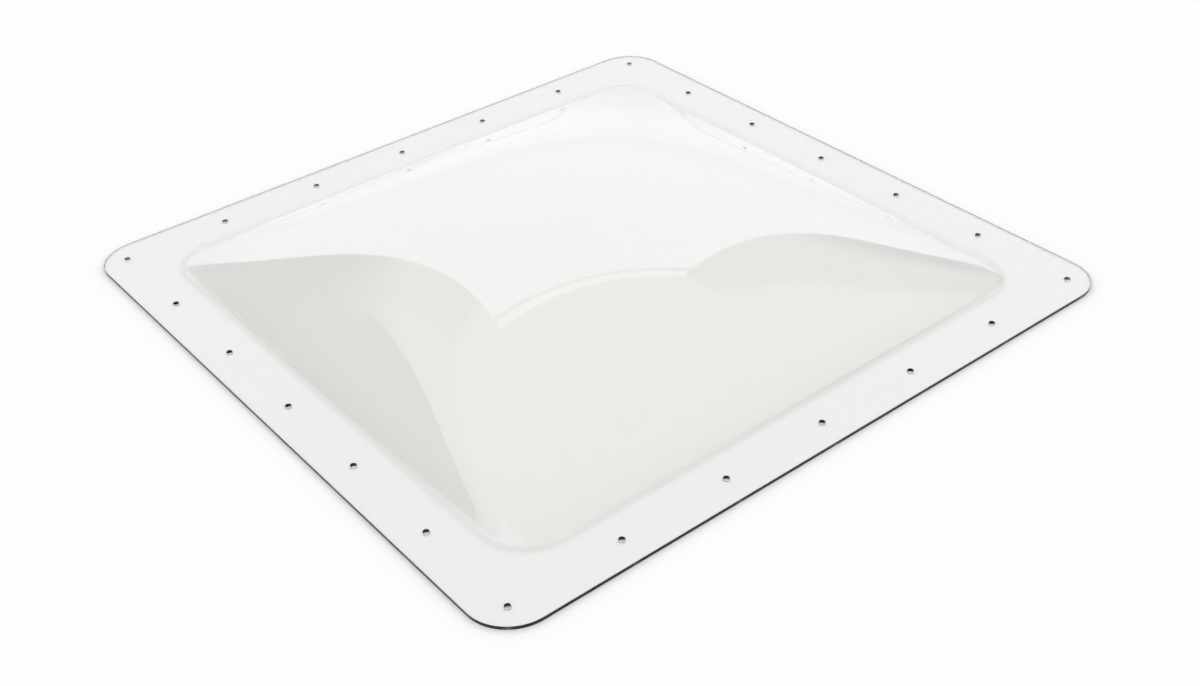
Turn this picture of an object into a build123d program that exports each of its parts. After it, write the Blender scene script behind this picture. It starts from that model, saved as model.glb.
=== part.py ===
"""RV skylight: one clear polycarbonate sheet with a blown square crown inside a flat, drilled flange.

Frame: origin at the middle of the underside of the flange, +Z up, X and Y along the sides of the square.
All sizes are millimetres. The roof opening and the screw pitch are inch sizes, so they are worked out in inches.
"""
import os
from math import comb, sqrt

from build123d import *

INCH = 25.4

# the sheet
SHEET = 0.125 * INCH              # thickness of the sheet, the same everywhere
FLANGE_SIDE = 26 * INCH           # outer side of the square flange
FLANGE_CORNER = 1.5 * INCH        # radius of the flange's outer corners

# the crown
FOOT_SIDE = 21.625 * INCH         # side of the crown where its walls would meet the flange without the bend
RISE = 3 * INCH                   # from the flange's upper face to the top of the crown
BEND_RADIUS = 0.75 * INCH         # radius of the bend at the foot of the crown, on the outside
CORNER_SINK = 0.01                # share of the rise cut off at the foot, which rounds its corners
CORNER_SWELL = 1.5                # how much fuller the corners are than where two plain parabolas cross

# the screw holes
HOLE_DIAMETER = 0.1875 * INCH
HOLE_PITCH = 4 * INCH
HOLE_STEPS = 6                    # pitches along each side

# how the crown is drawn
DEGREE = 6                        # degree of the crown's form along X and along Y
OVERRUN = 6.0                     # how far the drawn surface runs past the foot
LEVEL_TOLERANCE = 0.05            # how near a height an edge must lie to count as on it

# worked out from the sizes above
OVERALL_HEIGHT = RISE + SHEET
HALF_FLANGE = FLANGE_SIDE / 2
HALF_FOOT = FOOT_SIDE / 2
HOLE_SPAN = HOLE_STEPS * HOLE_PITCH
INNER_BEND_RADIUS = BEND_RADIUS + SHEET


def form_half_side():
    """Half side of the square on which the crown's form is zero, which lies just outside the foot.

    On the middle line the foot is where 1 - s equals sink / (1 + sink), with s the square of the foot's share of
    this half side.
    """
    return HALF_FOOT * sqrt(1 + CORNER_SINK)


def control_power(point, power):
    """Value at one control point of a Bezier curve that draws this power of the distance along the curve."""
    return comb(point, power) / comb(DEGREE, power)


def control_height(i, j):
    """Height above the flange of one of the control points that draw a quarter of the crown's outside.

    The form is two crossed parabolas made fuller at the corners: (1 - p)(1 - q)(1 + swell * p^2 * q^2), with p and q
    the squares of x and y as shares of the form's half side. Multiplied out, that is (1 - p)(1 - q) and swell times
    (p^2 - p^3)(q^2 - q^3).
    """
    share = ((HALF_FOOT + OVERRUN) / form_half_side()) ** 2
    plain = 1.0
    fuller = CORNER_SWELL
    for point in (i, j):
        plain *= 1 - share * control_power(point, 2)
        fuller *= share**2 * control_power(point, 4) - share**3 * control_power(point, 6)
    return RISE * ((1 + CORNER_SINK) * (plain + fuller) - CORNER_SINK)


def outer_face():
    """Outside of one quarter of the crown, from its middle to just past the foot. It is exact."""
    step = (HALF_FOOT + OVERRUN) / DEGREE
    points = range(DEGREE + 1)
    return Face.make_bezier_surface(
        [[Vector(step * i, step * j, SHEET + control_height(i, j)) for j in points] for i in points]
    )


def inner_face(outside):
    """Inside of the crown: the outside moved in by the thickness of the sheet, everywhere square to it."""
    skin = Solid.thicken(outside, -SHEET)
    return skin.faces().filter_by(GeomType.OFFSET)[0]


def below(face):
    """Solid that fills everything below a face of the crown, to well under the roof."""
    return Solid.extrude(face, Vector(0, 0, -2 * OVERALL_HEIGHT))


def flange_plate():
    """The flat plate with its rounded corners, before the crown is raised in it."""
    return extrude(RectangleRounded(FLANGE_SIDE, FLANGE_SIDE, FLANGE_CORNER), SHEET)


def foot_edges(body, height):
    """The edges where the crown meets the face of the flange at this height."""
    level = body.edges().filter_by(lambda edge: abs(edge.center().Z - height) < LEVEL_TOLERANCE)
    limit = HALF_FOOT + BEND_RADIUS
    return level.filter_by(lambda edge: max(edge.center().X, edge.center().Y) < limit)


def quarter_sheet():
    """One quarter of flange and crown as a sheet of even thickness, bent over at the foot of the crown."""
    quarter = Pos(HALF_FLANGE / 2, HALF_FLANGE / 2, OVERALL_HEIGHT) * Box(HALF_FLANGE, HALF_FLANGE, 2 * OVERALL_HEIGHT)
    outside = outer_face()
    body = (flange_plate() & quarter) + (below(outside) & quarter)
    body = body - below(inner_face(outside))
    body = fillet(foot_edges(body, SHEET), BEND_RADIUS)
    return fillet(foot_edges(body, 0), INNER_BEND_RADIUS)


def bent_sheet():
    """The whole sheet: the quarter and its mirror images in one piece."""
    quarter = quarter_sheet()
    half = quarter + mirror(quarter, Plane.YZ)
    return half + mirror(half, Plane.XZ)


def hole_centres():
    """Places of the screw holes: one at each corner and even steps along the sides."""
    edge = HOLE_SPAN / 2
    centres = []
    for i in range(HOLE_STEPS):
        along = -edge + i * HOLE_PITCH
        centres += [(along, -edge), (edge, along), (-along, edge), (-edge, -along)]
    return centres


def skylight_dome():
    """The whole skylight: the bent sheet with its screw holes."""
    drill = Cylinder(HOLE_DIAMETER / 2, 4 * SHEET)
    return bent_sheet() - [Pos(x, y, 0) * drill for x, y in hole_centres()]


os.makedirs("parts", exist_ok=True)
dome = skylight_dome()
dome.label = "skylight_dome"
export_step(dome, "parts/skylight_dome.step")
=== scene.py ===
"""Scene of an RV skylight: one clear polycarbonate sheet, blown into a crown inside a flat, drilled flange.

Everything is in metres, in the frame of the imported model: the origin is the middle of the flange's
underside, +Z is up, and X and Y run along the sides of the square. The sheet lies on a pale studio floor.
"""
import logging
import math
from dataclasses import dataclass, field
from enum import Enum

import bpy
import numpy as np
from mathutils import Matrix, Vector


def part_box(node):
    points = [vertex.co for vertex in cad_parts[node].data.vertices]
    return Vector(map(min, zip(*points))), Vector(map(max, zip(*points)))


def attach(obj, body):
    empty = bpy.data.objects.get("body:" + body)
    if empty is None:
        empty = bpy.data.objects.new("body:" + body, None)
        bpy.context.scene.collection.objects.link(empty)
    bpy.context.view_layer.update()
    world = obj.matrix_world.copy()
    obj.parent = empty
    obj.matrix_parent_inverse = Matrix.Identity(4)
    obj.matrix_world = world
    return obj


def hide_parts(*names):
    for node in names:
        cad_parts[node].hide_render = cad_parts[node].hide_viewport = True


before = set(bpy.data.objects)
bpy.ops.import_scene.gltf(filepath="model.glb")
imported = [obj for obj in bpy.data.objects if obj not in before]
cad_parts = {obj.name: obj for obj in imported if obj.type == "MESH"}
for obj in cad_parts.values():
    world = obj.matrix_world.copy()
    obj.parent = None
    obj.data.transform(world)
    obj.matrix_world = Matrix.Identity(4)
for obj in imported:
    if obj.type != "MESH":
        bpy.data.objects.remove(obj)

LOG = logging.getLogger("skylight")
INCH = 0.0254
NODE = "skylight_dome"
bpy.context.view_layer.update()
QUARTERS = 4

Colour = tuple[float, float, float]
Socket = bpy.types.NodeSocket


class Surface(Enum):
    """The two kinds of surface on the sheet, by the number of their material slot."""

    FACE = 0
    CUT = 1


class Side(Enum):
    """The sheet's two faces, with the height of the flange's face as a share of the thickness."""

    TOP = 1
    UNDER = 0


def quarter_turn(points: np.ndarray, turns: int) -> np.ndarray:
    """Turns points or directions about the Z axis by whole quarters, which swaps x and y without rounding.

    Args:
        points: array whose last axis starts with x and y.
        turns: number of quarter turns, anticlockwise seen from above.

    Returns:
        The turned array.
    """
    turned = points.copy()
    for _ in range(turns % QUARTERS):
        turned[..., 0], turned[..., 1] = -turned[..., 1].copy(), turned[..., 0].copy()
    return turned


def unit(vectors: np.ndarray) -> np.ndarray:
    """Vectors scaled to length one along their last axis."""
    return vectors / np.linalg.norm(vectors, axis=-1, keepdims=True)


def at_height(flat: np.ndarray, height: float) -> np.ndarray:
    """Points or directions of a plan, x and y, with one z for them all."""
    return np.concatenate([flat, np.full(flat.shape[:-1] + (1,), height)], axis=-1)


@dataclass
class Patch:
    """A grid of points with a normal at each. Its quads run from row to row and from column to column.

    Attributes:
        points: the places, by row and column.
        normals: the unit normals in the same order.
        surface: kind of surface.
        flipped: whether the quads are turned over.
    """

    points: np.ndarray
    normals: np.ndarray
    surface: Surface = Surface.FACE
    flipped: bool = False

    def quads(self) -> np.ndarray:
        """Corner numbers of the grid's quads, in the order that makes them face along the normals."""
        rows, columns = self.points.shape[:2]
        number = np.arange(rows * columns).reshape(rows, columns)
        corners = [number[:-1, :-1], number[1:, :-1], number[1:, 1:], number[:-1, 1:]]
        if self.flipped:
            corners.reverse()
        return np.stack(corners, axis=-1).reshape(-1, 4)


@dataclass
class CrownForm:
    """The crown's outside as a formula: two crossed parabolas, fuller at the corners and a little sunk.

    With p and q the squares of x and y as shares of the form's half side, the height above the flange is
    rise * ((1 + sink) * (1 - p)(1 - q)(1 + swell * p^2 * q^2) - sink).

    Attributes:
        rise: height of the middle above the flange's upper face.
        half_foot: half side of the foot, which is where the form meets that face.
        swell: how much fuller the corners are than where two plain parabolas cross.
        sink: share of the rise cut off at the foot, which rounds its corners.
        half_form: half side of the square on which p or q is one.
    """

    rise: float
    half_foot: float
    swell: float = 1.5
    sink: float = 0.01
    half_form: float = field(init=False)

    def __post_init__(self) -> None:
        """Works out the form's half side, so that the foot lies where it should."""
        self.half_form = self.half_foot * math.sqrt(1 + self.sink)

    def height(self, x: np.ndarray, y: np.ndarray) -> np.ndarray:
        """Height of the outside above the flange's upper face."""
        p = (x / self.half_form) ** 2
        q = (y / self.half_form) ** 2
        form = (1 - p) * (1 - q) * (1 + self.swell * p**2 * q**2)
        return self.rise * ((1 + self.sink) * form - self.sink)

    def normal(self, x: np.ndarray, y: np.ndarray) -> np.ndarray:
        """Outward unit normal, from the falls of the height along x and along y.

        The fall along x is 2x / half_form^2 times rise * (1 + sink) times (1 - q) times the fall by p,
        which is 1 + swell * p^2 * q^2 less the swell's own share, 2 * swell * p * q^2 * (1 - p). Along y
        it is swapped.
        """
        p = (x / self.half_form) ** 2
        q = (y / self.half_form) ** 2
        fuller = 1 + self.swell * p**2 * q**2
        scale = 2 * self.rise * (1 + self.sink) / self.half_form**2
        along_x = scale * x * (1 - q) * (fuller - 2 * self.swell * p * q**2 * (1 - p))
        along_y = scale * y * (1 - p) * (fuller - 2 * self.swell * q * p**2 * (1 - q))
        return unit(np.stack([along_x, along_y, np.ones_like(along_x)], axis=-1))

    def bend_start(self, angle: np.ndarray, radius: float) -> np.ndarray:
        """Plan distance from the middle at which a bend of this radius leaves the crown, in each direction.

        A ball of the bend's radius that touches both the crown and the flange touches the crown where its
        height is radius * (1 - the normal's z). The place is found by halving between half way out and the
        form's edge, often enough to leave no more than rounding.

        Args:
            angle: directions in plan, in radians.
            radius: radius of the bend on the outside.

        Returns:
            Distances of the same shape as angle.
        """
        cosine, sine = np.cos(angle), np.sin(angle)
        far = self.half_form / np.maximum(np.abs(cosine), np.abs(sine))
        near = far / 2
        halvings = 48
        for _ in range(halvings):
            middle = (near + far) / 2
            x, y = middle * cosine, middle * sine
            above = self.height(x, y) > radius * (1 - self.normal(x, y)[..., 2])
            near = np.where(above, middle, near)
            far = np.where(above, far, middle)
        return (near + far) / 2


@dataclass
class ClearSheet:
    """The whole skylight as one closed surface: crown, bend and flange on both faces, rim and screw holes.

    The flange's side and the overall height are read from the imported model. The rest is as in its source.

    Attributes:
        thickness: thickness of the sheet, the same everywhere.
        foot_side: side of the crown where its walls would meet the flange without the bend.
        flange_corner: radius of the flange's outer corners.
        bend_radius: radius of the bend at the foot of the crown, on the outside.
        hole_radius: radius of the screw holes.
        hole_pitch: distance from hole to hole.
        holes_per_side: holes of a side between its corner holes.
        eased: how far the rims of the cut edge and of the holes are eased.
        grid: quads of the crown along each side.
        bend_steps: quads across the bend.
        border_steps: quads along a border between two cells of the flange.
        rim_steps: quads along a cell's stretch of the straight rim.
        corner_steps: quads round a corner of the flange.
        cell_rings: shares of the way from a hole's rim to its cell's border at which rings of points lie.
        half_flange: half side of the flange.
        crown: form of the crown.
    """

    thickness: float = 0.125 * INCH
    foot_side: float = 21.625 * INCH
    flange_corner: float = 1.5 * INCH
    bend_radius: float = 0.75 * INCH
    hole_radius: float = 0.1875 * INCH / 2
    hole_pitch: float = 4 * INCH
    holes_per_side: int = 5
    eased: float = 0.00025
    grid: int = 144
    bend_steps: int = 16
    border_steps: int = 8
    rim_steps: int = 12
    corner_steps: int = 24
    cell_rings: tuple[float, ...] = (0.0, 0.06, 0.2, 0.45, 0.72, 1.0)
    half_flange: float = field(init=False)
    crown: CrownForm = field(init=False)

    def __post_init__(self) -> None:
        """Reads the flange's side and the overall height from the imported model."""
        low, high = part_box(NODE)
        self.half_flange = (high.x - low.x) / 2
        self.crown = CrownForm(rise=high.z - self.thickness, half_foot=self.foot_side / 2)

    @property
    def hole_span(self) -> float:
        """Distance between the outermost holes of a side."""
        return self.hole_pitch * (self.holes_per_side + 1)

    def along_crown(self, side: Side) -> Patch:
        """The crown as a square grid, in rings of which the outermost is the line where the bend starts.

        A grid place (a, b) from -1 to 1 lies on ring max(|a|, |b|), in its own direction, and the ring is
        the bend line scaled by that number. The under side is moved in by the thickness along the normal.
        """
        line = np.linspace(-1, 1, self.grid + 1)
        a, b = np.meshgrid(line, line, indexing="ij")
        angle = np.arctan2(b, a)
        ring = np.maximum(np.abs(a), np.abs(b)) * self.crown.bend_start(angle, self.bend_radius)
        outside, normal = self.on_crown(angle, ring)
        if side is Side.TOP:
            return Patch(outside, normal)
        return Patch(outside - self.thickness * normal, -normal, flipped=True)

    def on_crown(self, angle: np.ndarray, distance: np.ndarray) -> tuple[np.ndarray, np.ndarray]:
        """Points on the crown's outside, by direction and distance in plan, and the normals there."""
        x, y = distance * np.cos(angle), distance * np.sin(angle)
        outside = np.stack([x, y, self.thickness + self.crown.height(x, y)], axis=-1)
        return outside, self.crown.normal(x, y)

    def bend_centres(self) -> tuple[np.ndarray, np.ndarray]:
        """Centres of the bend's ball along the +X side, corner to corner, and the crown's normals there.

        Returns:
            The centres and the normals, one row for each place.
        """
        angle = np.arctan2(np.linspace(-1, 1, self.grid + 1), 1.0)
        outside, normal = self.on_crown(angle, self.crown.bend_start(angle, self.bend_radius))
        return outside + self.bend_radius * normal, normal

    def round_bend(self, side: Side) -> list[Patch]:
        """The bend at the foot, one patch for each side of the square.

        The direction from the ball's centre turns evenly from the crown's normal to straight up, with
        equal steps of angle, and the face lies at the bend's radius along it, plus the thickness on the
        under side.
        """
        centre, normal = self.bend_centres()
        turn = np.arccos(np.clip(normal[:, 2], -1, 1))[None, :, None]
        share = np.linspace(0, 1, self.bend_steps + 1)[:, None, None]
        up = np.array([0.0, 0.0, 1.0])
        direction = (np.sin((1 - share) * turn) * normal + np.sin(share * turn) * up) / np.sin(turn)
        radius = self.bend_radius + (0 if side is Side.TOP else self.thickness)
        points = centre - radius * direction
        points[-1] = at_height(centre[:, :2], self.thickness * side.value)
        facing = direction if side is Side.TOP else -direction
        flipped = side is Side.UNDER
        turned = [(quarter_turn(points, n), quarter_turn(facing, n)) for n in range(QUARTERS)]
        return [Patch(*pair, flipped=flipped) for pair in turned]

    def rim_plan(self, inset: float) -> tuple[np.ndarray, np.ndarray]:
        """A quarter of the flange's outline in plan: the +X side between the outer borders, then a corner.

        Args:
            inset: how far the line lies inside the outline.

        Returns:
            The points and the outward directions, one row for each place.
        """
        reach = self.hole_pitch * self.holes_per_side / 2
        arc_start = self.half_flange - self.flange_corner
        side_y = np.linspace(-reach, reach, self.holes_per_side * self.rim_steps + 1)
        lead_y = np.linspace(reach, arc_start, self.border_steps // 2 + 1)[1:-1]
        straight_y = np.concatenate([side_y, lead_y])
        straight = np.stack([np.full_like(straight_y, self.half_flange - inset), straight_y], axis=-1)
        angle = np.linspace(0, np.pi / 2, self.corner_steps + 1)
        outward = np.stack([np.cos(angle), np.sin(angle)], axis=-1)
        corner = arc_start + (self.flange_corner - inset) * outward
        last_x = np.append(lead_y[::-1], reach)
        last = np.stack([last_x, np.full_like(last_x, self.half_flange - inset)], axis=-1)
        ahead = np.array([1.0, 0.0])
        left = np.array([0.0, 1.0])
        directions = [np.tile(ahead, (len(straight), 1)), outward, np.tile(left, (len(last), 1))]
        return np.concatenate([straight, corner, last]), np.concatenate(directions)

    def border_index(self, border: int) -> int:
        """Place along the +X side's bend line nearest to a border between two cells of the flange."""
        centre, _ = self.bend_centres()
        wanted = (border - self.holes_per_side / 2) * self.hole_pitch
        return int(np.argmin(np.abs(centre[:, 1] - wanted)))

    def cell_loops(self) -> list[tuple[np.ndarray, np.ndarray]]:
        """The flange in plan, cut into cells of one screw hole each, for one quarter of the square.

        A cell's loop runs anticlockwise round its hole: out along a border, along the rim, back in along
        the next border, and along the bend line to where it started.

        Returns:
            For each cell, the hole's centre and the loop's points, with the first point again at the end.
        """
        foot = self.bend_centres()[0][:, :2]
        next_foot = quarter_turn(foot, 1)
        rim, _ = self.rim_plan(self.eased)
        step = np.linspace(0, 1, self.border_steps + 1)[:, None]
        loops = []
        for n in range(self.holes_per_side):
            start, end = self.border_index(n), self.border_index(n + 1)
            edge = rim[n * self.rim_steps : (n + 1) * self.rim_steps + 1]
            along = (n - (self.holes_per_side - 1) / 2) * self.hole_pitch
            centre = np.array([self.hole_span / 2, along])
            loops.append((centre, self.close_loop(step, edge, foot[start : end + 1][::-1])))
        start, end = self.border_index(self.holes_per_side), self.border_index(0)
        inner = np.concatenate([next_foot[: end + 1][::-1], foot[start:-1][::-1]])
        centre = np.array([self.hole_span / 2, self.hole_span / 2])
        loops.append((centre, self.close_loop(step, rim[self.holes_per_side * self.rim_steps :], inner)))
        return loops

    @staticmethod
    def close_loop(step: np.ndarray, edge: np.ndarray, inner: np.ndarray) -> np.ndarray:
        """Joins a stretch of rim and a stretch of bend line by two straight borders into one closed loop.

        Args:
            step: shares along a border, as a column.
            edge: the rim's points, anticlockwise.
            inner: the bend line's points, in the order of the way back.

        Returns:
            The loop's points, with the first again at the end.
        """
        out = inner[-1] + step * (edge[0] - inner[-1])
        back = edge[-1] + step * (inner[0] - edge[-1])
        return np.concatenate([out[:-1], edge[:-1], back[:-1], inner])

    def flange_cells(self) -> list[Patch]:
        """Both faces of the flange round each hole, and the hole's wall with its eased rims.

        A cell's face is drawn in rings that pass from the hole's rim to the cell's loop in straight lines.
        """
        share = np.array(self.cell_rings)[:, None, None]
        patches = []
        for centre, loop in self.cell_loops():
            away = unit(loop - centre)
            rim = centre + (self.hole_radius + self.eased) * away
            plan = rim + share * (loop - rim)
            for turns in range(QUARTERS):
                plan_here = quarter_turn(plan, turns)
                for side in Side:
                    facing = np.zeros(plan_here.shape[:2] + (3,))
                    facing[..., 2] = 1 if side is Side.TOP else -1
                    points = at_height(plan_here, self.thickness * side.value)
                    patches.append(Patch(points, facing, flipped=side is Side.UNDER))
                hole = quarter_turn(centre, turns)
                patches += self.hole_wall(hole, quarter_turn(away, turns))
        return patches

    def hole_wall(self, centre: np.ndarray, away: np.ndarray) -> list[Patch]:
        """The wall of a hole: an eased rim, a straight wall and another eased rim.

        Args:
            centre: the middle of the hole in plan.
            away: unit directions round it in plan.

        Returns:
            One patch for each of the three strips.
        """
        wall = centre + self.hole_radius * away
        rim = centre + (self.hole_radius + self.eased) * away
        return self.strips(wall, rim, -away, flipped=True)

    def strips(self, wall: np.ndarray, rim: np.ndarray, facing: np.ndarray, flipped: bool) -> list[Patch]:
        """Three strips that close the sheet between its faces along a cut.

        Args:
            wall: plan of the straight wall.
            rim: plan of the eased rims, on the faces.
            facing: plan direction that the wall faces.
            flipped: whether the strips run the other way round.

        Returns:
            The upper eased rim, the wall and the lower eased rim.
        """
        top, low = self.thickness, 0.0
        levels = [
            (at_height(rim, top), at_height(wall, top - self.eased), 1.0),
            (at_height(wall, top - self.eased), at_height(wall, low + self.eased), 0.0),
            (at_height(wall, low + self.eased), at_height(rim, low), -1.0),
        ]
        patches = []
        for upper, lower, tilt in levels:
            points = np.stack([upper, lower])
            normals = np.stack([unit(at_height(facing, tilt))] * 2)
            patches.append(Patch(points, normals, Surface.CUT, flipped))
        return patches

    def outer_rim(self) -> list[Patch]:
        """The flange's outer edge, one quarter at a time."""
        wall, outward = self.rim_plan(0)
        rim, _ = self.rim_plan(self.eased)
        patches = []
        for turns in range(QUARTERS):
            turned = [quarter_turn(plan, turns) for plan in (wall, rim, outward)]
            patches += self.strips(*turned, flipped=False)
        return patches

    def patches(self) -> list[Patch]:
        """Every patch of the sheet's closed surface."""
        found = self.flange_cells() + self.outer_rim()
        for side in Side:
            found.append(self.along_crown(side))
            found += self.round_bend(side)
        return found

    def build(self, materials: list[bpy.types.Material]) -> bpy.types.Object:
        """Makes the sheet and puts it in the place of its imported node.

        Args:
            materials: one for each kind of surface, in the order of Surface.

        Returns:
            The new object.
        """
        sheet = mesh_object("clear_sheet", self.patches(), materials)
        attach(sheet, "root")
        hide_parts(NODE)
        return sheet


def linked(name: str, data: bpy.types.ID) -> bpy.types.Object:
    """A new object that holds this mesh or camera, linked to the scene."""
    made = bpy.data.objects.new(name, data)
    bpy.context.scene.collection.objects.link(made)
    return made


def mesh_object(name: str, patches: list[Patch], materials: list[bpy.types.Material]) -> bpy.types.Object:
    """Joins patches into one mesh, with equal points made one and the patches' own normals kept.

    Points are equal where they round to the same step. The shift keeps round numbers off the steps' ends.

    Args:
        name: name of the object and its mesh.
        patches: grids that meet along their borders.
        materials: the object's material slots.

    Returns:
        The object, linked to the scene.
    """
    merge_step, merge_shift = 1e-6, 0.137
    first = np.cumsum([0] + [len(patch.points.reshape(-1, 3)) for patch in patches])
    points = np.concatenate([patch.points.reshape(-1, 3) for patch in patches])
    normals = np.concatenate([patch.normals.reshape(-1, 3) for patch in patches])
    quads = np.concatenate([patch.quads() + start for patch, start in zip(patches, first)])
    slots = np.concatenate([np.full(len(patch.quads()), patch.surface.value) for patch in patches])
    keys = np.round(points / merge_step + merge_shift).astype(np.int64)
    _, kept, number = np.unique(keys, axis=0, return_index=True, return_inverse=True)
    mesh = bpy.data.meshes.new(name)
    mesh.from_pydata(points[kept].tolist(), [], number.reshape(-1)[quads].tolist())
    for material in materials:
        mesh.materials.append(material)
    mesh.polygons.foreach_set("material_index", slots.astype(np.int32))
    mesh.polygons.foreach_set("use_smooth", np.ones(len(quads), bool))
    mesh.normals_split_custom_set(normals[quads].reshape(-1, 3).tolist())
    mesh.update()
    LOG.info("%s: %d points, %d quads", name, len(kept), len(quads))
    return linked(name, mesh)


class Nodes:
    """Short ways to add and join nodes in one node tree."""

    def __init__(self, tree: bpy.types.NodeTree) -> None:
        """Keeps the tree and empties it."""
        self.tree = tree
        self.tree.nodes.clear()

    def add(self, kind: str, settings: dict | None = None, **inputs: object) -> bpy.types.Node:
        """Adds a node.

        Args:
            kind: the node's type, without its ShaderNode prefix.
            settings: values of the node's own properties.
            inputs: values or sockets for its inputs, by name with _ for each space, or by slot and number.

        Returns:
            The node.
        """
        prefix = "" if kind.startswith("Node") else "ShaderNode"
        node = self.tree.nodes.new(prefix + kind)
        for name, value in (settings or {}).items():
            setattr(node, name, value)
        for name, value in inputs.items():
            self.put(node, name.replace("_", " "), value)
        return node

    def put(self, node: bpy.types.Node, name: str, value: object) -> None:
        """Sets one input of a node, or joins a socket to it."""
        number = name.removeprefix("slot")
        socket = node.inputs[int(number) if number.isdecimal() else name]
        if isinstance(value, Socket):
            self.tree.links.new(value, socket)
        else:
            socket.default_value = value

    def maths(self, operation: str, *values: object) -> Socket:
        """The result of a Math node on numbers or sockets."""
        node = self.tree.nodes.new("ShaderNodeMath")
        node.operation = operation
        for number, value in enumerate(values):
            self.put(node, f"slot{number}", value)
        return node.outputs[0]

    def vectors(self, operation: str, first: object, second: object) -> bpy.types.NodeOutputs:
        """The results of a Vector Math node on two vectors."""
        return self.add("VectorMath", {"operation": operation}, slot0=first, slot1=second).outputs

    def mix(self, share: Socket, first: Colour, second: Colour) -> Socket:
        """The first colour passed into the second by a share.

        The Mix node's sockets go by number, because it has the same names for each kind of value.
        """
        settings = {"data_type": "RGBA"}
        return self.add("Mix", settings, slot0=share, slot6=(*first, 1.0), slot7=(*second, 1.0)).outputs[2]

    def ramp(self, value: Socket, low: float, high: float, start: float, end: float) -> Socket:
        """A value passed smoothly from the range low..high to the range start..end."""
        settings = {"interpolation_type": "SMOOTHSTEP"}
        limits = {"From_Min": low, "From_Max": high, "To_Min": start, "To_Max": end}
        return self.add("MapRange", settings, Value=value, **limits).outputs["Result"]


def new_material(name: str) -> tuple[bpy.types.Material, Nodes]:
    """Starts a material and empties its node tree."""
    made = bpy.data.materials.new(name)
    made.use_nodes = True
    return made, Nodes(made.node_tree)


class Effects:
    """The finishes' node groups, each built once."""

    def __init__(self) -> None:
        """Builds the groups."""
        self.ripple = self.make_ripple()
        self.scuffs = self.make_scuffs()

    @staticmethod
    def start(name: str, numbers: dict[str, float], result: str) -> tuple[Nodes, bpy.types.Node]:
        """Starts a group that takes a place and some numbers and gives one value.

        Args:
            name: the group's name.
            numbers: its inputs with their usual values.
            result: name of its output.

        Returns:
            Its nodes and its input node.
        """
        tree = bpy.data.node_groups.new(name, "ShaderNodeTree")
        tree.interface.new_socket("Place", in_out="INPUT", socket_type="NodeSocketVector")
        for label, value in numbers.items():
            number = tree.interface.new_socket(label, in_out="INPUT", socket_type="NodeSocketFloat")
            number.default_value = value
        tree.interface.new_socket(result, in_out="OUTPUT", socket_type="NodeSocketFloat")
        nodes = Nodes(tree)
        return nodes, nodes.add("NodeGroupInput")

    @staticmethod
    def make_ripple() -> bpy.types.NodeTree:
        """Slow and fine noise added up: the slight unevenness of a sheet that was heated and blown."""
        usual = {"Scale": 20.0, "Fine share": 0.1}
        finer = 9.0
        nodes, taken = Effects.start("moulding_ripple", usual, "Height")
        place, scale = taken.outputs["Place"], taken.outputs["Scale"]
        slow = nodes.add("TexNoise", Vector=place, Scale=scale, Detail=1.0)
        fine_scale = nodes.maths("MULTIPLY", scale, finer)
        fine = nodes.add("TexNoise", Vector=place, Scale=fine_scale, Detail=2.0)
        part = nodes.maths("MULTIPLY", fine.outputs["Fac"], taken.outputs["Fine share"])
        height = nodes.maths("ADD", slow.outputs["Fac"], part)
        nodes.add("NodeGroupOutput", Height=height)
        return nodes.tree

    @staticmethod
    def make_scuffs() -> bpy.types.NodeTree:
        """Short fine scratches that lie in several directions, in loose patches.

        Two noises, each stretched along its own direction, give the scratches where they are near their
        peak, and a broad noise leaves them out of most places.
        """
        usual = {"Scale": 60.0, "Stretch": 14.0, "Cover": 0.5}
        tilt, turns = (0.3, 0.2), (0.4, 1.9)
        peak, patches = (0.72, 0.78), (0.5, 0.62)
        patch_scale = 9.0
        nodes, taken = Effects.start("handling_scuffs", usual, "Mask")
        place, scale = taken.outputs["Place"], taken.outputs["Scale"]
        masks = []
        for turn in turns:
            turned = nodes.add("Mapping", Vector=place, Rotation=(*tilt, turn)).outputs[0]
            narrow = nodes.add("CombineXYZ", X=taken.outputs["Stretch"], Y=1.0, Z=1.0).outputs[0]
            drawn = nodes.vectors("MULTIPLY", turned, narrow)["Vector"]
            noise = nodes.add("TexNoise", Vector=drawn, Scale=scale, Detail=1.0)
            masks.append(nodes.ramp(noise.outputs["Fac"], *peak, 0.0, 1.0))
        both = nodes.maths("MAXIMUM", *masks)
        broad = nodes.add("TexNoise", Vector=place, Scale=patch_scale, Detail=2.0)
        patch = nodes.ramp(broad.outputs["Fac"], *patches, 0.0, 1.0)
        cover = nodes.maths("MULTIPLY", patch, taken.outputs["Cover"])
        nodes.add("NodeGroupOutput", Mask=nodes.maths("MULTIPLY", both, cover))
        return nodes.tree


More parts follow.
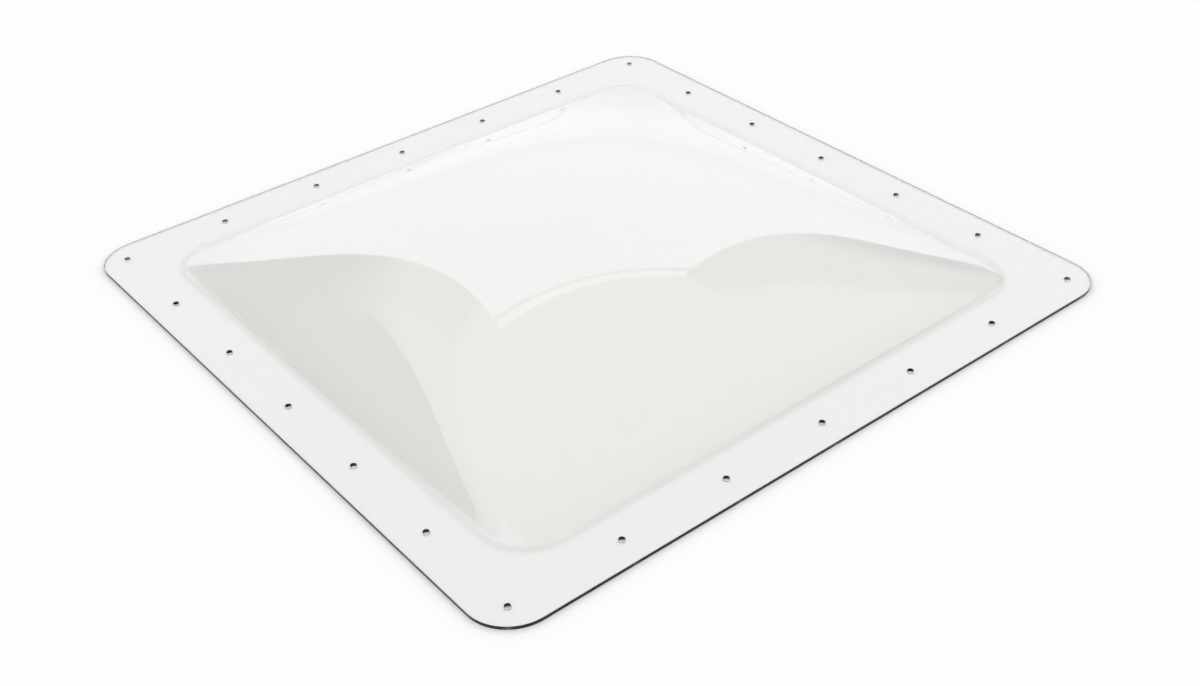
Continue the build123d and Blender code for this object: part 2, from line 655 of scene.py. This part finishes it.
@dataclass(frozen=True)
class ClearPolycarbonate:
    """The sheet's moulded faces: clear and glossy, with the faintest ripple and handling marks.

    The crown's faces are tinted a little lighter than the flange's. A soft dark line of painted shade runs
    round the foot of the crown, where the bend meets the flange, fainter towards +X and +Y. The crown's
    corners, where the sheet was drawn most, are a little less glossy.

    Attributes:
        crown_tint: colour that the crown's faces pass.
        flange_tint: colour that the flange's faces pass.
        tint_change: heights between which the one passes into the other.
        foot_line_half: half side of the line round the foot.
        foot_line_corner: radius of the line's corners.
        painted_shade_reach: distance from the middle of the line at which it ends.
        painted_shade_tint: share of each colour that the middle of the line passes.
        painted_shade_fade: values of x + y between which the line grows fainter.
        painted_shade_far: strength of the line beyond them.
        top_from: height above which a face is the top one.
        corner_start: distances from both middle lines between which the corners grow duller.
        corner_end: distances past the foot between which they grow glossy again.
        corner_dull: roughness of the corners.
        ior: refractive index of polycarbonate.
        polish: roughness elsewhere.
        scuffed: roughness in a handling mark.
        ripple_scale: scale of the ripple.
        ripple_depth: its depth.
    """

    crown_tint: Colour = (0.901, 0.894, 0.880)
    flange_tint: Colour = (0.885, 0.879, 0.867)
    tint_change: tuple[float, float] = (0.004, 0.016)
    foot_line_half: float = 10.945 * INCH
    foot_line_corner: float = 1.75 * INCH
    painted_shade_reach: float = 0.22 * INCH
    # painted shade: how much of each colour the soft dark line along the crown's foot lets through
    painted_shade_tint: Colour = (0.893, 0.884, 0.870)
    painted_shade_fade: tuple[float, float] = (-2 * INCH, 5 * INCH)
    painted_shade_far: float = 0.5
    top_from: float = 0.0016
    corner_start: tuple[float, float] = (8.6 * INCH, 9.6 * INCH)
    corner_end: tuple[float, float] = (-0.5 * INCH, 0.0)
    corner_dull: float = 0.08
    ior: float = 1.585
    polish: float = 0.004
    scuffed: float = 0.12
    ripple_scale: float = 16.0
    ripple_depth: float = 0.00002

    def material(self, effects: Effects) -> bpy.types.Material:
        """Makes the material."""
        made, nodes = new_material("clear_polycarbonate_face")
        place = nodes.add("TexCoord").outputs["Object"]
        ripple = nodes.add("Group", {"node_tree": effects.ripple}, Place=place, Scale=self.ripple_scale)
        bump = nodes.add("Bump", Height=ripple.outputs["Height"], Distance=self.ripple_depth)
        scuffs = nodes.add("Group", {"node_tree": effects.scuffs}, Place=place)
        scuffed = nodes.ramp(scuffs.outputs["Mask"], 0.0, 1.0, self.polish, self.scuffed)
        axes = nodes.add("SeparateXYZ", Vector=place).outputs
        flat = [nodes.maths("ABSOLUTE", axes[name]) for name in ("X", "Y")]
        past_foot = self.past_foot(nodes, flat)
        corner = nodes.ramp(nodes.maths("MINIMUM", *flat), *self.corner_start, 0.0, self.corner_dull)
        inside = nodes.ramp(past_foot, *self.corner_end, 1.0, 0.0)
        rough = nodes.maths("MAXIMUM", scuffed, nodes.maths("MULTIPLY", corner, inside))
        # the crown's faces take a lighter tint than the flange's, changing with height
        stretched = nodes.ramp(axes["Z"], *self.tint_change, 0.0, 1.0)
        tint = nodes.mix(stretched, self.flange_tint, self.crown_tint)
        # painted shade: a soft dark line along the foot of the crown, fainter towards +X and +Y
        mark = self.painted_foot_shade(nodes, past_foot, axes)
        tint_with_painted_shade = nodes.vectors("MULTIPLY", tint, mark)["Vector"]
        shader = nodes.add(
            "BsdfPrincipled",
            Base_Color=tint_with_painted_shade,
            Roughness=rough,
            IOR=self.ior,
            Transmission_Weight=1.0,
            Normal=bump.outputs["Normal"],
        )
        nodes.add("OutputMaterial", Surface=shader.outputs["BSDF"])
        return made

    def past_foot(self, nodes: Nodes, flat: list[Socket]) -> Socket:
        """How far a place lies outside the foot of the crown, which is a square with rounded corners.

        With u and v the distances of a place past the square's straight parts, it is the length of (u, v),
        both taken as nought where negative, plus the larger of them where both are negative, less the
        corner's radius.

        Args:
            nodes: the material's nodes.
            flat: distances of the place from the middle along X and along Y.

        Returns:
            The distance, negative inside the foot.
        """
        straight = self.foot_line_half - self.foot_line_corner
        past = [nodes.maths("SUBTRACT", value, straight) for value in flat]
        outer = [nodes.maths("POWER", nodes.maths("MAXIMUM", value, 0.0), 2.0) for value in past]
        length = nodes.maths("SQRT", nodes.maths("ADD", *outer))
        inner = nodes.maths("MINIMUM", nodes.maths("MAXIMUM", *past), 0.0)
        return nodes.maths("SUBTRACT", nodes.maths("ADD", length, inner), self.foot_line_corner)

    def painted_foot_shade(self, nodes: Nodes, past_foot: Socket, axes: bpy.types.NodeOutputs) -> Socket:
        """Share of each colour that passes the top face: less on a soft line of painted shade along the
        foot.

        Args:
            nodes: the material's nodes.
            past_foot: how far the place lies outside the foot.
            axes: the place's x, y and z.

        Returns:
            The share, as a colour.
        """
        line = nodes.ramp(nodes.maths("ABSOLUTE", past_foot), 0.0, self.painted_shade_reach, 1.0, 0.0)
        fade = nodes.ramp(nodes.maths("ADD", axes["X"], axes["Y"]), *self.painted_shade_fade, 1.0, self.painted_shade_far)
        strength = nodes.maths("MULTIPLY", nodes.maths("GREATER_THAN", axes["Z"], self.top_from), fade)
        return nodes.mix(nodes.maths("MULTIPLY", line, strength), (1.0, 1.0, 1.0), self.painted_shade_tint)


@dataclass(frozen=True)
class SawnEdge:
    """The cut rim and hole walls: a satin saw cut through clear sheet, whose dark colour is a painted
    reflection of the dark room around it.

    Attributes:
        dark: painted dark colour, at the bottom of the saw marks.
        light: lighter painted colour, at their top.
        sheen: share of the usual reflection that the cut has when seen squarely.
        ior: refractive index of polycarbonate.
        rough_range: heights of the marks between which the cut grows coarser.
        smooth: roughness at the lower of them.
        coarse: roughness at the higher.
        mark_scale: scale of the marks along the edge.
        mark_stretch: share of that scale across the sheet, which makes the marks upright.
        mark_fine: share of finer marks.
        mark_depth: depth of the marks.
    """

    # painted reflection: the cut's dark colours stand in for the dark room that it shows
    dark: Colour = (0.065, 0.07, 0.07)
    light: Colour = (0.20, 0.21, 0.21)
    sheen: float = 0.25
    ior: float = 1.585
    rough_range: tuple[float, float] = (0.3, 0.8)
    smooth: float = 0.22
    coarse: float = 0.4
    mark_scale: float = 500.0
    mark_stretch: float = 0.06
    mark_fine: float = 0.3
    mark_depth: float = 0.00004

    def material(self, effects: Effects) -> bpy.types.Material:
        """Makes the material."""
        made, nodes = new_material("clear_polycarbonate_cut")
        place = nodes.add("TexCoord").outputs["Object"]
        upright = nodes.add("Mapping", Vector=place, Scale=(1.0, 1.0, self.mark_stretch)).outputs[0]
        ripple = {"node_tree": effects.ripple}
        marks = nodes.add("Group", ripple, Place=upright, Scale=self.mark_scale, Fine_share=self.mark_fine)
        height = marks.outputs["Height"]
        bump = nodes.add("Bump", Height=height, Distance=self.mark_depth)
        # painted reflection of the dark room, varied with the saw marks
        tone = nodes.mix(height, self.dark, self.light)
        rough = nodes.ramp(height, *self.rough_range, self.smooth, self.coarse)
        shader = nodes.add(
            "BsdfPrincipled",
            Base_Color=tone,
            Specular_Tint=(self.sheen, self.sheen, self.sheen, 1.0),
            Roughness=rough,
            IOR=self.ior,
            Transmission_Weight=1.0,
            Normal=bump.outputs["Normal"],
        )
        nodes.add("OutputMaterial", Surface=shader.outputs["BSDF"])
        return made


def mirrored_mask(nodes: Nodes) -> Socket:
    """One where light reaches the camera by a mirror reflection and no matt surface, and nought elsewhere.

    A path's depths are whole numbers of bounces, so a half lies between none and one.
    """
    one_bounce = 0.5
    path = nodes.add("LightPath").outputs
    mirrored = nodes.maths("GREATER_THAN", path["Glossy Depth"], one_bounce)
    direct = nodes.maths("LESS_THAN", path["Diffuse Depth"], one_bounce)
    return nodes.maths("MULTIPLY", mirrored, direct)


@dataclass(frozen=True)
class Card:
    """An upright white card that stands out of the picture and shows in the sheet's reflections alone.

    Attributes:
        name: name of its object and its material.
        azimuth: direction in plan in which it lies, from +Y towards +X.
        distance: its distance from the origin.
        left: place of its left side along the card, seen from the skylight.
        right: place of its right side.
        low: height of its lower side.
        high: height of its upper side.
        colour: colour of its glow.
        strength: brightness that the glow grows towards.
        foot_strength: brightness at the floor.
        rise: height of that change.
    """

    name: str
    azimuth: float
    distance: float
    left: float
    right: float
    low: float
    high: float
    colour: Colour = (0.965, 1.0, 1.06)
    strength: float = 1.95
    foot_strength: float = 1.07
    rise: float = 3.3

    def build(self) -> bpy.types.Object:
        """Makes the card."""
        away = np.array([math.sin(self.azimuth), math.cos(self.azimuth), 0.0])
        across = np.array([math.cos(self.azimuth), -math.sin(self.azimuth), 0.0])
        below = [(self.left, self.low), (self.right, self.low)]
        above = [(self.right, self.high), (self.left, self.high)]
        corners = []
        for along, height in below + above:
            corners.append(tuple(away * self.distance + across * along + np.array([0.0, 0.0, height])))
        return stage_object(self.name, corners, self.material())

    def material(self) -> bpy.types.Material:
        """A white glow for mirrored rays and nothing for all others, so that it neither lights nor shades.

        The card is lit from above: its strength less the share that is missing at its foot, which falls
        off as e to the power of -height / rise.
        """
        made, nodes = stage_material(self.name)
        height = nodes.add("SeparateXYZ", Vector=nodes.add("TexCoord").outputs["Object"]).outputs["Z"]
        missing = nodes.maths("EXPONENT", nodes.maths("MULTIPLY", height, -1.0 / self.rise))
        lost = nodes.maths("MULTIPLY", missing, self.strength - self.foot_strength)
        strength = nodes.maths("SUBTRACT", self.strength, lost)
        show_mirrored(nodes, nodes.add("BsdfTransparent"), self.colour, strength)
        return made


@dataclass(frozen=True)
class Flag:
    """A dark strip that hangs slanting beside the skylight's left side and shows in its reflections alone.

    It is thin and slatted: seen nearly along its face it is dark, and seen squarely the room shows through.
    How far from square it is seen runs from 0 for square to 1 for along its face.

    Attributes:
        start: near end of its inner edge.
        end: far end of its inner edge.
        reach: how far it goes from there to the left.
        slant_range: how far from square it is seen where its slats begin to close and where they have.
        colour: colour of its glow.
        strength: brightness of its glow.
    """

    start: tuple[float, float, float] = (-10.95 * INCH, -3 * INCH, 7.0 * INCH)
    end: tuple[float, float, float] = (-14.21 * INCH, 44 * INCH, 35.45 * INCH)
    reach: float = 14 * INCH
    slant_range: tuple[float, float] = (0.57, 0.64)
    colour: Colour = (1.0, 1.0, 1.0)
    strength: float = 0.40

    def build(self) -> bpy.types.Object:
        """Makes the flag."""
        left = [(x - self.reach, y, z) for x, y, z in (self.end, self.start)]
        made, nodes = stage_material("dark_flag")
        slant = nodes.add("LayerWeight", Blend=0.5).outputs["Facing"]
        closed = nodes.ramp(slant, *self.slant_range, 0.0, 1.0)
        show_mirrored(nodes, nodes.add("BsdfTransparent"), self.colour, self.strength, closed)
        return stage_object("dark_flag", [self.start, self.end, *left], made)


def stage_material(name: str) -> tuple[bpy.types.Material, Nodes]:
    """Starts a material of the studio, which is never sampled as a lamp: it is seen, and lights nothing."""
    made, nodes = new_material(name)
    made.cycles.emission_sampling = "NONE"
    return made, nodes


def show_mirrored(
    nodes: Nodes,
    usual: bpy.types.Node,
    colour: Colour,
    strength: float | Socket,
    closed: float | Socket = 1.0,
) -> None:
    """Ends a material that glows evenly for mirrored rays and has its usual shader for all others.

    Args:
        nodes: the material's nodes.
        usual: the shader for all other rays.
        colour: colour of the glow.
        strength: strength of the glow, as a number or a socket.
        closed: share of the glow that hides the usual shader, as a number or a socket.
    """
    glow = nodes.add("Emission", Color=(*colour, 1.0), Strength=strength)
    mask = nodes.maths("MULTIPLY", mirrored_mask(nodes), closed)
    shown = nodes.add("MixShader", slot0=mask, slot1=usual.outputs[0], slot2=glow.outputs[0])
    nodes.add("OutputMaterial", Surface=shown.outputs[0])


def stage_object(name: str, corners: list[tuple], material: bpy.types.Material) -> bpy.types.Object:
    mesh = bpy.data.meshes.new(name)
    mesh.from_pydata(corners, [], [(0, 1, 2, 3)])
    mesh.materials.append(material)
    made = linked(name, mesh)
    return made


@dataclass(frozen=True)
class Studio:
    """The white floor, the white cards that the sheet mirrors, and the even light all round.

    The cards' sizes are worked out from the borders of the reflections on the crown in the photograph. The
    room that the sheet mirrors has a light ceiling and a light front. Its walls are dark where they are
    far from the lamp above the backdrop, and light near it.

    Attributes:
        floor_colour: colour of the floor.
        floor_glow: brightness of the floor for mirrored rays.
        glow_colour: colour of the floor for mirrored rays.
        floor_half: half side of the floor.
        floor_drop: how far the floor lies under the flange.
        light: brightness of the even light all round.
        ceiling: brightness of the room's ceiling and front for mirrored rays.
        walls: brightness of its dark walls.
        wall_top: upward shares of a direction between which the walls pass into the ceiling.
        front: shares along +Y between which the walls pass into the front.
        lamp: direction of the lamp.
        lamp_edge: cosines of the angle to the lamp between which the lit wall begins and is full.
        lit_wall: brightness of the lit wall.
        side_wall: shares along +X between which the lit wall changes.
        side_lift: how much brighter it is at the second of them.
        backdrop_azimuth: direction of the backdrop card, from +Y towards +X.
        backdrop_distance: its distance from the origin.
        backdrop_left: place of its left side along the card.
        backdrop_right: place of its right side.
        backdrop_top: its height.
        rail_gap: gap between the card and the rail above it.
        rail_width: height of the rail.
    """

    floor_colour: Colour = (0.99, 0.99, 0.99)
    floor_glow: float = 1.11
    glow_colour: Colour = (0.98, 1.0, 1.025)
    floor_half: float = 14.0
    floor_drop: float = 0.0003
    light: float = 1.0
    ceiling: float = 1.32
    walls: float = 0.42
    wall_top: tuple[float, float] = (0.74, 0.815)
    front: tuple[float, float] = (0.31, 0.09)
    lamp: tuple[float, float, float] = (0.3347, 0.3794, 0.8630)
    lamp_edge: tuple[float, float] = (0.755, 0.845)
    lit_wall: float = 0.91
    side_wall: tuple[float, float] = (-0.02, -0.10)
    side_lift: float = 0.22
    backdrop_azimuth: float = math.radians(24.1)
    backdrop_distance: float = 150 * INCH
    backdrop_left: float = -55.5 * INCH
    backdrop_right: float = 132 * INCH
    backdrop_top: float = 241 * INCH
    rail_gap: float = 8.0 * INCH
    rail_width: float = 14.0 * INCH

    def floor(self) -> bpy.types.Object:
        """A large matt floor just under the flange, a little lighter in reflections than in the picture."""
        half, level = self.floor_half, -self.floor_drop
        corners = [(-half, -half, level), (half, -half, level), (half, half, level), (-half, half, level)]
        made, nodes = stage_material("studio_floor")
        paint = nodes.add("BsdfDiffuse", Color=(*self.floor_colour, 1.0))
        show_mirrored(nodes, paint, self.glow_colour, self.floor_glow)
        return stage_object("studio_floor", corners, made)

    def cards(self) -> list[bpy.types.Object]:
        """The backdrop card, the light rail above it that it hangs from, and the dark flag."""
        place = (self.backdrop_azimuth, self.backdrop_distance, self.backdrop_left, self.backdrop_right)
        rail_low = self.backdrop_top + self.rail_gap
        rail_high = rail_low + self.rail_width
        backdrop = Card("backdrop_card", *place, 0.0, self.backdrop_top)
        rail = Card("backdrop_rail", *place, rail_low, rail_high)
        return [backdrop.build(), rail.build(), Flag().build()]

    def world(self) -> None:
        """Even white light all round, with the room's own tones where the sheet mirrors it."""
        world = bpy.data.worlds.new("studio_light")
        world.use_nodes = True
        world.cycles.sampling_method = "NONE"
        nodes = Nodes(world.node_tree)
        room = self.room_tone(nodes)
        mask = mirrored_mask(nodes)
        tone = nodes.add("Mix", {"data_type": "FLOAT"}, slot0=mask, slot2=self.light, slot3=room)
        light = nodes.add("Background", Color=(1.0, 1.0, 1.0, 1.0), Strength=tone.outputs[0])
        nodes.add("OutputWorld", Surface=light.outputs[0])
        bpy.context.scene.world = world

    def room_tone(self, nodes: Nodes) -> Socket:
        """Brightness of the room in each direction: the lightest of its walls, ceiling and front."""
        direction = nodes.add("TexCoord").outputs["Generated"]
        axes = nodes.add("SeparateXYZ", Vector=direction).outputs
        ceiling = nodes.ramp(axes["Z"], *self.wall_top, self.walls, self.ceiling)
        front = nodes.ramp(axes["Y"], *self.front, self.walls, self.ceiling)
        near = nodes.vectors("DOT_PRODUCT", direction, self.lamp)["Value"]
        lit = nodes.ramp(near, *self.lamp_edge, 0.0, 1.0)
        above = nodes.ramp(axes["X"], *self.side_wall, self.lit_wall, self.lit_wall + self.side_lift)
        wall = nodes.maths("MULTIPLY_ADD", lit, nodes.maths("SUBTRACT", above, self.walls), self.walls)
        return nodes.maths("MAXIMUM", nodes.maths("MAXIMUM", ceiling, front), wall)

    def clear_paths(self) -> None:
        """Lets light through the clear sheet unblurred, so that the floor under it gets its full share."""
        bpy.context.scene.cycles.blur_glossy = 0.0


@dataclass(frozen=True)
class PhotoCamera:
    """The camera at the photograph's place, worked out from the screw holes in the photograph.

    Attributes:
        place: where it stands.
        azimuth: direction in plan in which it looks, from +Y towards +X.
        elevation: angle by which it looks up.
        roll: turn about its line of sight, anticlockwise seen from behind it.
        lens: focal length in millimetres.
        sensor: width of the sensor in millimetres.
        shift: shift of the picture to the right and up, as shares of its width.
        clip: nearest and farthest distance that it shows.
    """

    place: tuple[float, float, float] = (-0.6944, -0.9550, 0.7490)
    azimuth: float = math.radians(37.985)
    elevation: float = math.radians(-37.387)
    roll: float = math.radians(-2.580)
    lens: float = 45.83
    sensor: float = 36.0
    shift: tuple[float, float] = (-0.0281, 0.0494)
    clip: tuple[float, float] = (0.02, 100.0)

    def build(self) -> bpy.types.Object:
        """Makes the camera and gives it to the scene."""
        data = bpy.data.cameras.new("photo_camera")
        data.lens = self.lens
        data.sensor_width = self.sensor
        data.shift_x, data.shift_y = self.shift
        data.clip_start, data.clip_end = self.clip
        level = math.cos(self.elevation)
        x, y = math.sin(self.azimuth) * level, math.cos(self.azimuth) * level
        ahead = Vector((x, y, math.sin(self.elevation)))
        right = ahead.cross(Vector((0, 0, 1))).normalized()
        right = Matrix.Rotation(-self.roll, 3, ahead) @ right
        up = right.cross(ahead)
        camera = linked("photo_camera", data)
        turned = Matrix((right, up, -ahead)).transposed().to_4x4()
        camera.matrix_world = Matrix.Translation(self.place) @ turned
        bpy.context.scene.camera = camera
        return camera


def main() -> None:
    """Builds the camera, the studio and the skylight."""
    logging.basicConfig(level=logging.INFO, format="%(name)s: %(message)s")
    bpy.context.scene.view_settings.view_transform = "Standard"
    PhotoCamera().build()
    studio = Studio()
    studio.floor()
    studio.cards()
    studio.world()
    studio.clear_paths()
    effects = Effects()
    sheet = ClearSheet().build([ClearPolycarbonate().material(effects), SawnEdge().material(effects)])
    LOG.info("%s stands for %s", sheet.name, NODE)


if __name__ == "__main__":
    main()
